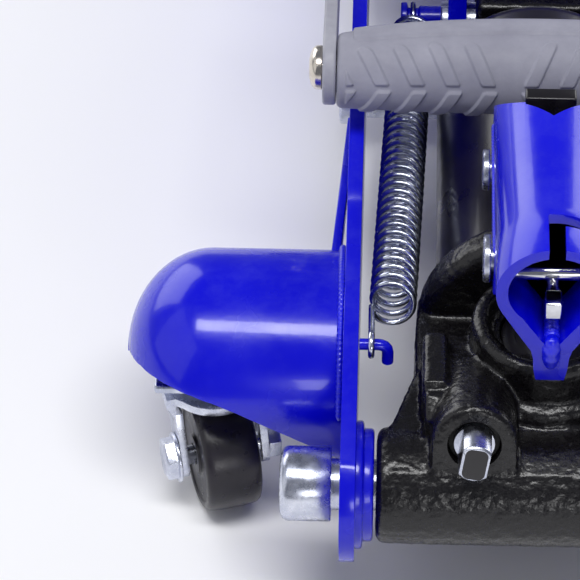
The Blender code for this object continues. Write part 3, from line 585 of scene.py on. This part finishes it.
def casting():
    """Valve body: trunnion tube, pump boss, valve boss and lug in one casting, with its small parts."""
    y, z = TRUNNION
    ends = [(18.5, -65.0), (20.3, -64.6), (21.6, -63.8), (22.3, -62.6), (22.5, -61.0)]
    half = [(60.0, y - 12), (63.0, y + 5), (58.5, y + 18), (54.5, y + 31), (50.5, y + 43), (51.0, y + 60),
            (50.0, y + 84)]
    shoulder = [(-312.0, 70.0), (-311.0, 93.0), (-304.0, 99.0), (-290.0, 98.5), (-262.0, 92.0),
                (-262.0, 70.0)]
    body = prism([(-p, q) for p, q in half] + half[::-1], "Z", 42.0, 80.0)
    flange = [(44.0, -241.0), (46.5, -240.4), (48.6, -238.6), (49.5, -236.0), (49.5, -228.2),
              (48.6, -227.2)]
    boss = [(29.5, 45.0), (29.5, 103.5), (29.2, 105.0), (28.5, 106.4), (27.4, 107.4), (26.0, 107.9),
            (24.6, 107.7), (23.4, 107.0), (22.5, 105.6), (22.2, 103.6), (22.0, 101.0), (19.0, 99.6)]
    out = Vector((0, -cos(VALVE_TILT), sin(VALVE_TILT)))
    lug = [(-239.0, 100.0), (-227.2, 100.0), (-227.2, 115.1), (-199.0, 115.3), (-199.0, 132.0)]
    lug += arc(SOCKET_PIN, 12.0, 0, 130, 14) + [(-233.0, 126.0)]
    arch = on_valve(block(-16.4, 16.4, 0.1, 36.0, -24.0, 0.0))
    adds = [body, arch, prism(shoulder, "X", -47.0, -17.0), lathe(flange, (0, 0, TANK_Z), (0, 1, 0), 96),
            lathe([(34.5, 50), (34.5, 84), (33.6, 87), (31.5, 88.6), (29.0, 89.4)], (0, PUMP_Y, 0),
                  (0, 0, 1), 72), lathe(boss, (0, PUMP_Y, 0), (0, 0, 1), 96),
            lathe([(16.5, -40.0), (16.5, -2.4), (16.0, -1.1), (15.0, -0.2), (13.6, 0.0)], VALVE, out, 64),
            prism([(-48.0, 70.0), (-48.0, 100.5), (-46.5, 102.0), (-39.5, 102.0), (-38.0, 100.5),
                   (-38.0, 70.0)], "Y", -300.0, -272.0), block(-15.0, 15.0, y - 10, y + 26, 60.0, 81.4,
                                                               6.0, 5), prism(lug, "X", -11.0, 11.0)]
    cuts = [post(18.4, 0, PUMP_Y, 50.0, 120.0), lathe([(10.4, -30.0), (10.4, 5.0)], VALVE, out, 48),
            rod(6.0, -20, 20, *SOCKET_PIN)]
    cuts += [rod(10.4, s * 46, s * 70, y, z) for s in (-1, 1)]
    me = fused([lathe(mirrored(ends), (0, y, z), (1, 0, 0), 72)] + adds, cuts, 0.9, 12)
    wrap("v_valve_body_casting", me, CAST, "frame", ["valve_body_casting"], angle=75)
    barrel = [(0, 50.3), (17.9, 50.3), (17.9, 97.0), (17.5, 97.8), (16.6, 98.2), (12.4, 98.2),
              (12.0, 97.4), (9.2, 97.4), (9.0, 97.0), (9.0, 53.0), (0, 53.0)]
    finish("v_pump_cylinder", lathe(barrel, (0, PUMP_Y, 0), (0, 0, 1)), BLACK, "frame", ["pump_cylinder"])
    plunger = [(7.6, 54.0), (8.0, 54.4), (8.0, 118.6), (11.2, 118.6), (11.4, 118.9), (11.4, 123.0),
               (11.0, 123.9), (10.2, 124.4), (0, 124.5)]
    finish("v_pump_plunger", lathe(plunger, (0, PUMP_Y, 0), (0, 0, 1)), CHROME, "plunger",
           ["pump_plunger"])
    flats = [on_valve(block(s * 5.3, s * 12.0, -24.0, 1.0, -9.0, 9.0), SPINDLE_ROLL) for s in (-1, 1)]
    stem = lathe([(7.8, -29.0), (7.8, 13.0), (7.5, 13.6), (6.9, 14.0)], VALVE, out, 56)
    me = solid(stem, (), flats)
    wrap("v_release_spindle", me, ZINC, "release_valve", ["release_spindle"], bevel=0.35, steps=3)
    for name, box in (("end", (-4.3, 4.5, -14.12, -13.9, -6.6, 6.2)),
                      ("side_left", (-5.42, -5.2, -12.6, -2.0, -4.4, 4.6)),
                      ("side_right", (5.2, 5.42, -12.4, -2.6, -4.6, 4.2))):
        skin = block(*box)
        thin = 1 if name == "end" else 0
        edges = [e for e in skin.edges if abs((e.verts[0].co - e.verts[1].co)[thin]) > 0.1]
        bmesh.ops.bevel(skin, geom=edges, offset=2.6, segments=5, profile=0.5, affect="EDGES")
        finish("spindle_paint_" + name, on_valve(skin, SPINDLE_ROLL), BLACK, "release_valve")
    collar = [(7.95, -6.0), (10.1, -6.0), (10.1, -4.2), (9.6, -3.8), (7.95, -3.8)]
    finish("valve_seal", lathe(collar, VALVE, out, 48, closed=True), PAD, "frame")


def tank():
    shell = [(0, -226.7), (42.5, -226.7), (42.5, -90.0), (42.0, -87.4), (40.9, -85.2), (39.2, -83.4),
             (37.0, -82.3), (34.5, -82.0), (12.4, -82.0), (12.4, -186.0), (0, -186.0)]
    finish("v_reservoir_tube", lathe(shell, (0, 0, TANK_Z), (0, 1, 0), 112), BLACK, "frame",
           ["reservoir_tube"])
    nut = [(16.0, -81.7), (16.0, -69.4), (15.4, -68.3), (14.6, -68.0), (12.4, -68.0), (12.4, -81.7)]
    finish("v_tank_front_nut", lathe(nut, (0, 0, TANK_Z), (0, 1, 0), 56, closed=True), BLACK, "frame",
           ["tank_front_nut"])
    t = TANK_Z + 42.5
    plug = [(7.0, t + 0.3), (7.5, t + 0.8), (7.5, t + 3.2), (7.0, t + 4.1), (6.2, t + 4.5),
            (3.0, t + 4.5), (2.6, t + 3.6), (0, t + 3.6)]
    finish("v_filler_plug", lathe(plug, (0, -140.0, 0), (0, 0, 1), 40), PAD, "frame", ["filler_plug"])
    ram = [(11.0, -180.0), (12.0, -179.0), (12.0, -62.0)]
    finish("v_ram_rod", lathe(ram, (0, 0, TANK_Z), (0, 1, 0), 56), CHROME, "ram", ["ram_rod"])
    slot = arc((-43.0, 74.5), 9.6, 0, 180, 24) + arc((-43.0, 62.5), 9.6, 180, 360, 24)
    me = solid(block(-26.0, 26.0, -61.7, -26.0, 45.0, 93.0, 3.0, 4), (), [prism(slot, "X", -40, 40)])
    wrap("v_ram_clevis", me, CAST, "ram", ["ram_clevis"], angle=60)


# ---- handle socket -----------------------------------------------------------
def handle_socket():
    """Tube with a teardrop mouth, cheeks for its two pins, the release coupling and the stop plate."""
    mid = (0, 0, SOCKET_Z)
    tube = lathe([(21.96, -297.0), (21.96, -201.0)], mid, (0, 1, 0), 96)
    half = [(5.4, 109.6), (6.4, 115.0), (6.8, 121.0), (7.8, 125.0), (13.0, 133.6)]
    mouth = [(-p, q) for p, q in half[::-1]] + half + arc((0, SOCKET_Z), SOCKET_R, -33, 213, 64)
    adds = [prism(mouth, "Y", -305.0, -281.0)]
    vee = [(-14.4, 146.0), (-3.2, 129.0), (-1.8, 127.8), (1.8, 127.8), (3.2, 129.0), (14.4, 146.0)]
    slot = [(-3.1, -316.0), (3.1, -316.0), (3.1, -291.5), (11.5, -291.5), (11.5, -285.5), (-3.1, -285.5)]
    notch = [(-10.5, -220.0), (0.0, -229.5), (10.5, -220.0), (11.5, -206.0), (-11.5, -206.0)]
    slant = [(-222.6, 178.0), (-199.0, 154.4), (-196.0, 139.0), (-183.0, 139.0), (-183.0, 193.0),
             (-222.6, 193.0)]
    cuts = [lathe([(SOCKET_BORE, -320.0), (SOCKET_BORE, -188.0)], mid, (0, 1, 0), 96),
            prism(vee, "Y", -315.0, -274.0), block(-30.0, 30.0, -273.4, -185.0, 100.0, 147.0),
            prism(slot, "Z", 161.0, 191.0), prism(notch, "Z", 159, 188),
            rod(3.3, -40, 40, -285.0, 147.5), prism(slant, "X", -32.0, 32.0)]
    me = solid(tube, adds, cuts)
    wrap("v_handle_socket", me, BLUE, "socket", ["handle_socket"], bevel=0.55, steps=3, angle=38)
    cheek = [(-276.0, 150.0), (-276.0, 126.0), (-270.0, 121.0), (-204.0, 121.0), (-199.0, 127.0),
             (-199.0, 150.0)]
    for s in (-1, 1):
        me = solid(prism(cheek, "X", s * 17.0, s * 21.8), (),
                   [rod(5.9, -40, 40, *at) for at in (SOCKET_PIN, ROLLER_PIN)])
        wrap(side_name("socket_cheek", s), me, BLUE, "socket", bevel=0.5, steps=3)
    for s in (-1, 1):
        bead(side_name("socket_weld", s), [(s * 21.6, -275.0, 147.0), (s * 21.6, -201.0, 147.0)], 1.0,
             "socket")
    blob = sweep([(0, -304.2, 131.5 - i * 0.5) for i in range(33)],
                 lambda i: 3.7 * sqrt(max(0.03, 1 - ((i - 15) / 17.5) ** 2)) * (1 + 0.03 * sin(i * 0.7)),
                 20)
    finish("socket_seam_weld", blob, WELD, "socket", angle=70)
    bead("socket_vee_weld", [(0, -304.0, 129.0), (0, -290.0, 128.8), (0, -276.0, 128.6)], 2.8, "socket")
    for node, r, at, body in (("socket_pivot_pin", 8.2, SOCKET_PIN, "frame"),
                              ("socket_roller_pin", 9.4, ROLLER_PIN, "socket")):
        e = [(r - 0.9, 25.7), (r - 0.25, 25.4), (r, 24.8), (r, 23.3), (r - 0.3, 23.0), (5.6, 23.0)]
        finish("v_" + node, x_lathe(mirrored(e), *at), ZINC, body, [node])
    roller = x_lathe(mirrored([(5.9, -10.0), (6.8, -10.0), (7.1, -9.7)]), *ROLLER_PIN, closed=True)
    finish("v_pump_roller", roller, CHROME, "roller", ["pump_roller"])
    finish("v_socket_stop_plate", block(-10.0, 10.0, -207.0, -200.5, 144.4, 166.0, 0.9), BLACK, "frame",
           ["socket_stop_plate"])
    me = solid(rod(3.0, -19.6, 19.6, -285.0, 147.0, 0.5),
               [block(-3.1, 3.1, -302.0, -294.0, 138.6, 146.6, 0.7),
                lathe([(2.6, -297.0), (2.6, -272.0)], (0, 0, 143.2), (0, 1, 0), 32)])
    wrap("v_release_coupling", me, CHROME, "socket", ["release_coupling"])


# ---- lifting linkage ---------------------------------------------------------
def linkage():
    """Lift arm, radius rods, saddle carrier and saddle."""
    side = arc(ARM_PIN, 16.0, -97, 83, 24) + [(60.0, 138.0)] + arc(PIVOT, 24.0, 75, 190, 24)
    side += arc(EAR_PIN, 15.0, 165, 235, 12) + arc(HOOK_PIN, 11.0, 235, 345, 16) + [(4.0, 92.0),
                                                                                    (40.0, 88.0)]
    web = [(2.0, 139.0), (60.0, 137.6), (250.0, 109.5), (250.0, 103.5), (60.0, 131.4), (4.0, 133.0)]
    adds = [prism(side, "X", 30.0, 38.0), rod(21.0, -37.0, 37.0, *PIVOT), prism(web, "X", -34.0, 34.0)]
    for s in (-1, 1):
        peg = [(5.0, 34.0), (5.0, 50.0), (4.0, 50.8), (4.0, 55.2), (6.5, 55.8), (6.5, 58.0), (6.1, 58.5)]
        adds.append(x_lathe(peg, *HOOK_PIN, s, 32))
    cuts = [rod(11.3, -50, 50, *PIVOT), rod(8.2, -60, 60, *EAR_PIN), rod(8.2, -60, 60, *ARM_PIN)]
    me = solid(prism(side, "X", -38.0, -30.0), adds, cuts)
    wrap("v_lift_arm", me, BLUE, "arm", ["lift_arm"], bevel=0.7, steps=3)
    for s in (-1, 1):
        bead(side_name("arm_web_weld", s), [(s * 30.0, 20.0, 139.4), (s * 30.0, 60.0, 138.2),
                                            (s * 30.0, 248.0, 110.4)], 1.4, "arm")
    pins = (("ram_pin", [(6.8, 41.0), (7.7, 40.6), (8.0, 39.8)], EAR_PIN, "arm"),
            ("carrier_pin", [(10.4, 41.5), (11.0, 40.9), (11.0, 38.3), (8.0, 38.3)], ARM_PIN, "arm"),
            ("radius_rod_pin", [(8.4, 51.5), (9.0, 50.9), (9.0, 48.4), (6.0, 48.4)],
             ROD_FRONT, "carrier"))
    for node, e, at, body in pins:
        finish("v_" + node, x_lathe(mirrored(e), *at), ZINC, body, [node])
    stem = [(18.0, 92.0), (18.0, 116.3), (17.6, 117.2), (16.8, 117.6), (11.0, 117.6), (11.0, 125.0),
            (10.6, 125.4)]
    me = fused([prism(link_outline(ARM_PIN, ROD_FRONT, 18.0, 11.0, 28), "X", -27.0, 27.0),
                lathe(stem, (0, ARM_PIN[0], 0), (0, 0, 1), 64)],
               [rod(8.4, -60, 60, *ARM_PIN), rod(6.2, -60, 60, *ROD_FRONT)], 1.0, 3)
    wrap("v_saddle_carrier", me, CAST, "carrier", ["saddle_carrier"], angle=60)
    for s in (-1, 1):
        me = solid(prism(link_outline(ROD_REAR, ROD_FRONT, 11.0, 10.0, 24), "X", s * 42.0, s * 48.0), (),
                   [rod(7.3, s * 38, s * 52, *ROD_REAR), rod(6.3, s * 38, s * 52, *ROD_FRONT)])
        node = side_name("radius_rod", s)
        wrap("v_" + node, me, BLUE, side_name("rod", s), [node], bevel=0.6)
    y = ARM_PIN[0]
    cup = [(11.4, 118.0), (30.0, 118.0), (36.0, 118.6), (42.0, 120.2), (44.4, 121.6), (45.0, 123.0),
           (45.0, 134.0), (44.6, 134.7), (44.0, 135.0), (40.0, 135.0), (39.0, 134.7), (38.5, 134.0),
           (37.5, 126.6), (11.4, 126.6)]
    slots = []
    for k in range(3):
        slot = block(-7.0, 7.0, -60.0, 60.0, 128.5, 150.0)
        slots.append(spun(slot, (0, 0, 0), k * pi / 3))
        bmesh.ops.translate(slots[-1], verts=slots[-1].verts[:], vec=(0, y, 0))
    me = solid(lathe(cup, (0, y, 0), (0, 0, 1), 96, closed=True), (), slots)
    wrap("v_saddle", me, BLACK, "saddle", ["saddle"], bevel=0.5)
    disc = [(0, 126.9), (36.5, 126.9), (36.5, 130.8), (36.1, 131.5), (35.4, 131.8)]
    for k in range(7):
        r = 33.0 - k * 4.4
        disc += [(r, 131.8), (r - 0.5, 131.0), (r - 1.3, 131.0), (r - 1.8, 131.8)]
    finish("v_saddle_pad", lathe(disc + [(0, 131.8)], (0, y, 0), (0, 0, 1), 96), PAD, "saddle",
           ["saddle_pad"])


# ---- wheels ------------------------------------------------------------------
def front_wheel(s):
    tyre = [(9.3, 84.0), (16.4, 84.0), (17.0, 84.6), (17.4, 86.0), (29.4, 86.0), (30.0, 84.6),
            (30.6, 84.0), (36.4, 84.0), (37.9, 84.8), (38.8, 86.4), (39.0, 88.0), (39.0, 108.4),
            (38.7, 110.2), (37.8, 111.5), (36.4, 112.0), (30.6, 112.0), (30.0, 111.4), (29.4, 110.0),
            (17.4, 110.0), (17.0, 111.4), (16.4, 112.0), (9.3, 112.0)]
    node = side_name("front_wheel", s)
    finish("v_" + node, x_lathe(tyre, *AXLE, s, 96, closed=True), TYRE, node, [node])


def caster(s):
    """Swivelling fork, wheel and axle bolt, standing at rest with a little yaw."""
    x, y = s * SWIVEL[0], SWIVEL[1]
    wy = y - 17.0
    yaw = -s * YAW
    about = (x, y, 0)
    tag = "left" if s < 0 else "right"
    plan = arc((x, y - 2.0), 21.5, 20, 160, 20) + [(x - 21.5, y - 12.0)] + arc((x, y - 6.0), 19.0, 215,
                                                                               325, 14)
    crown = spun(prism(plan + [(x + 21.5, y - 12.0)], "Z", 51.6, 55.5), about, yaw)
    leg = [(y - 15.0, 46.5), (wy - 8.5, CASTER_R)] + arc((wy, CASTER_R), 8.5, 180, 360,
                                                         20) + [(y + 1.0, 46.5)]
    bend = [(15.2, 44.5), (18.2, 44.5), (21.6, 50.5), (22.0, 52.6), (21.5, 55.4), (17.6, 55.4),
            (17.9, 52.2), (15.2, 46.2)]
    stem = [(16.0, 54.0), (16.0, 58.4), (15.4, 59.4), (14.2, 59.8), (7.0, 59.8), (7.0, 64.8),
            (10.5, 64.8), (10.5, 69.0), (9.0, 70.2)]
    adds = [spun(prism(leg, "X", x + t * 15.21, x + t * 18.19), about, yaw) for t in (-1, 1)]
    adds += [spun(prism([(x + t * p, q) for p, q in bend], "Y", y - 14.8, y + 0.8), about,
                  yaw) for t in (-1, 1)]
    adds.append(lathe(stem, (x, y, 0), (0, 0, 1), 48))
    hole = spun(lathe([(4.4, -30.0), (4.4, 30.0)], (x, wy, CASTER_R), (1, 0, 0), 32), about, yaw)
    me = solid(crown, adds, [hole])
    wrap("v_caster_fork_" + tag, me, ZINC, "caster_" + tag, ["caster_fork_" + tag], bevel=0.5, steps=3)
    tyre = [(4.5, -11.5), (8.0, -11.5), (8.6, -10.6), (19.8, -10.6), (20.4, -11.2), (21.8, -11.4),
            (23.0, -10.9), (23.8, -9.8), (24.2, -7.6), (24.5, -4.0)]
    bm = spun(lathe(mirrored(tyre), (x, wy, CASTER_R), (1, 0, 0), 80, closed=True), about, yaw)
    finish("v_caster_wheel_" + tag, bm, TYRE, "caster_wheel_" + tag, ["caster_wheel_" + tag])
    spot = (x, wy, CASTER_R)
    shank = spun(lathe([(4.1, s * -20.0), (4.1, s * 20.0)], spot, (1, 0, 0), 32), about, yaw)
    adds = []
    for shape in ([(9.0, 18.5), (9.0, 23.6), (8.2, 24.2)], [(7.6, -18.5), (7.6, -23.0), (6.8, -23.8)]):
        adds.append(spun(lathe([(r, s * d) for r, d in shape], spot, (1, 0, 0), 6), about, yaw))
    washer = [(10.4, 18.35), (10.4, 19.6)]
    adds.append(spun(lathe([(r, s * d) for r, d in washer], spot, (1, 0, 0), 40), about, yaw))
    me = solid(shank, adds)
    wrap("v_caster_bolt_" + tag, me, ZINC, "caster_" + tag, ["caster_bolt_" + tag], bevel=0.3)


# ---- springs and carry handle --------------------------------------------------
def return_spring(s):
    """Coil from the frame's peg to the arm's hook; it is attached to neither body."""
    a = Vector((s * SPRING_A[0], SPRING_A[1], SPRING_A[2]))
    b = Vector((s * SPRING_B[0], SPRING_B[1], SPRING_B[2]))
    axis = (b - a).normalized()
    side = axis.cross(Vector((0, 0, 1))).normalized()
    up = side.cross(axis)
    peg = Vector((s * 68.0, PEG[0], PEG[1]))
    hook = Vector((b.x, HOOK_PIN[0], HOOK_PIN[1]))
    pts = []
    for i in range(25):
        ang = radians(20 + i * 12.7)
        pts.append(peg + Vector((0, cos(ang) * 4.4, sin(ang) * 4.4)))
    last, first = pts[-1], a + side * (s * SPRING_R)
    pts += [last.lerp(first, t) + up * (-1.6 * sin(pi * t)) for t in (0.3, 0.6, 0.85)]
    per = 28
    steps = SPRING_TURNS * per
    for i in range(steps + 1):
        ang = 2 * pi * i / per + s * pi / 2
        reach = SPRING_R * min(1.0, (steps - i + 6) / 26.0)
        pts.append(a.lerp(b, i / steps) + side * (reach * sin(ang)) + up * (-reach * cos(ang)))
    for i in range(25):
        ang = radians(200 - i * 11.0)
        pts.append(hook + Vector((0, cos(ang) * 5.7, sin(ang) * 5.7)))
    node = side_name("return_spring", s)
    obj = finish("v_" + node, sweep(pts, WIRE_R), SPRING, None, [node], angle=80)
    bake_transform(obj)


def smooth(e0, e1, x):
    t = np.clip((x - e0) / (e1 - e0), 0, 1)
    return t * t * (3 - 2 * t)


def bars(dist, deg, low, high, start, lean, flat):
    """A row of slanted bars between two angles round the grip, 0 to 1 high.

    flat tells which end of a bar is cut square: -1 the lower one, 1 the higher one.
    """
    pitch, width = 14.2, 6.4
    along = dist - start + lean * (deg - low)
    u = np.abs(np.mod(along, pitch) - pitch / 2)
    v = (deg - (low + high) / 2) * 0.32
    reach = (high - low) * 0.16
    round_end = np.hypot(u, np.maximum(np.abs(v) - reach + width / 2, 0)) - width / 2
    square_end = np.hypot(np.maximum(u - width / 2 + 1.2, 0),
                          np.maximum(np.abs(v) - reach + 1.2, 0)) - 1.2
    d = np.where(v * flat > 0, square_end, round_end)
    return (1 - smooth(-0.75, 0.15, d)) * (along > 0)


def grip():
    """Barrel grip with a long raised pad on top and two rows of slanted bars below it."""
    nx, na = 620, 190
    xs = np.linspace(-GRIP_HALF, GRIP_HALF, nx)
    angs = np.linspace(0, 2 * pi, na, endpoint=False)
    X, A = np.meshgrid(xs, angs, indexing="ij")
    deg = np.degrees(A)                      # 0 faces up and to the rear, positive goes over the top
    deg = np.where(deg > 180, deg - 360, deg)
    bulge = np.clip(1 - (X / GRIP_HALF) ** 2, 0, 1) ** 0.85
    base = 14.9 + 3.9 * bulge
    edge = np.clip((GRIP_HALF - np.abs(X)) / 2.2, 0, 1)
    base = base - 1.9 * (1 - np.sqrt(np.clip(1 - (1 - edge) ** 2, 0, 1)))
    dist = np.abs(X + 15.0)
    ends = 1 - smooth(80.0, 81.0, np.abs(X))
    lift = bars(dist, deg, -27.0, 31.0, 1.1, -0.145, -1)
    lift = np.maximum(lift, bars(dist, deg, -92.0, -34.0, 8.9, 0.15, 1)) * ends
    run = np.maximum(np.abs(X) - 76.0, 0)
    wide = np.maximum(np.abs(deg - 75.0) - 24.0, 0) * 0.33
    lift = np.maximum(lift, 1.25 * (1 - smooth(1.6, 2.3, np.hypot(run, wide))))
    R = base + 1.0 * lift
    face = radians(137.0)                    # direction of 0 in the (y, z) plane
    ang = face - A
    rise = 2.4 * bulge - 1.2
    Y = GRIP[0] + rise * 0.69 + R * np.cos(ang)
    Z = GRIP[1] + rise * 0.72 + R * np.sin(ang)
    bm = bmesh.new()
    rows = [[bm.verts.new((X[i, j], Y[i, j], Z[i, j])) for j in range(na)] for i in range(nx)]
    for p, q in zip(rows, rows[1:]):
        for j in range(na):
            k = (j + 1) % na
            bm.faces.new((p[j], p[k], q[k], q[j]))
    for row in (rows[0], rows[-1]):
        bm.faces.new(row)
    finish("v_carry_grip", bm, GREY, "carry_handle", ["carry_grip"], angle=70)


def carry_handle():
    grip()
    for s in (-1, 1):
        me = solid(prism(link_outline(CARRY, GRIP, 12.5, 15.0, 28), "X", s * 84.6, s * 90.0), (),
                   [rod(5.4, s * 80, s * 95, *CARRY), rod(4.4, s * 80, s * 95, *GRIP)])
        node = side_name("carry_arm", s)
        wrap("v_" + node, me, STRAP, "carry_handle", [node], bevel=1.1, steps=3)
        screw = [(4.1, 70.0), (4.1, 90.3), (8.8, 90.3), (9.0, 90.6), (9.0, 92.4), (8.6, 93.4),
                 (7.6, 94.3), (6.0, 95.1), (4.0, 95.5), (3.2, 95.6), (2.9, 93.4), (0, 93.2)]
        node = side_name("grip_screw", s)
        finish("v_" + node, x_lathe(screw, *GRIP, s, 48), NICKEL, "carry_handle", [node])


for side in (-1, 1):
    side_plate(side)
    bolt_head(side)
    fender(side)
    front_wheel(side)
    caster(side)
    return_spring(side)
small_frame()
casting()
tank()
handle_socket()
linkage()
carry_handle()


# ---- studio --------------------------------------------------------------------
def area(name, place, target, size, power):
    light = bpy.data.lights.new(name, "AREA")
    light.shape = "RECTANGLE"
    light.size, light.size_y = size
    light.energy = power
    obj = bpy.data.objects.new(name, light)
    obj.location = place
    obj.rotation_euler = (Vector(target) - Vector(place)).to_track_quat("-Z", "Y").to_euler()
    bpy.context.scene.collection.objects.link(obj)


def studio():
    """Bright floor, dim sky and five soft boxes."""
    bm = bmesh.new()
    bmesh.ops.create_grid(bm, x_segments=1, y_segments=1, size=6000.0)
    bmesh.ops.scale(bm, verts=bm.verts[:], vec=(MM, MM, MM))
    me = bpy.data.meshes.new("floor")
    bm.to_mesh(me)
    bm.free()
    floor = bpy.data.objects.new("floor", me)
    floor.location.z = -0.0006
    m = Mat("floor", (0.9, 0.9, 0.91), 0.75)
    m.color(m.mix(m.ramp(m.noise(3, 3), 0.3, 0.7), (0.88, 0.88, 0.89), (0.92, 0.92, 0.925)))
    me.materials.append(m.mat)
    bpy.context.scene.collection.objects.link(floor)
    world = bpy.data.worlds.new("studio")
    world.use_nodes = True
    bg = world.node_tree.nodes["Background"]
    bg.inputs["Color"].default_value = (0.80, 0.84, 1.0, 1)
    bg.inputs["Strength"].default_value = 0.20
    bpy.context.scene.world = world
    area("key", (-0.10, -0.60, 1.30), (-0.05, -0.22, 0.06), (1.1, 0.26), 13)
    area("left", (-1.15, 1.00, 0.75), (0, -0.1, 0.08), (1.3, 1.2), 12)
    area("right", (1.15, 1.00, 0.75), (0, -0.1, 0.08), (1.3, 1.2), 12)
    area("side", (-1.60, -0.80, 0.95), (0, -0.25, 0.05), (1.9, 1.7), 6)
    area("rear", (0.35, -1.75, 0.45), (0, -0.25, 0.05), (0.5, 0.3), 3)


def camera():
    """Long lens from behind and above."""
    yaw, pitch, roll = radians(2.08), radians(43.77), radians(-0.27)
    n = Vector((sin(yaw) * cos(pitch), -cos(yaw) * cos(pitch), sin(pitch)))
    r = Vector((cos(yaw), sin(yaw), 0))
    u = n.cross(r)
    r, u = cos(roll) * r + sin(roll) * u, -sin(roll) * r + cos(roll) * u
    cam = bpy.data.cameras.new("camera")
    cam.sensor_width = 36.0
    cam.lens = 221.5
    cam.clip_start, cam.clip_end = 0.01, 50
    obj = bpy.data.objects.new("camera", cam)
    obj.matrix_world = Matrix(((r.x, u.x, n.x, -0.0637), (r.y, u.y, n.y, -1.2626),
                               (r.z, u.z, n.z, 1.0721), (0, 0, 0, 1)))
    bpy.context.scene.collection.objects.link(obj)
    bpy.context.scene.camera = obj


studio()
camera()
bpy.context.scene.view_settings.view_transform = "Standard"
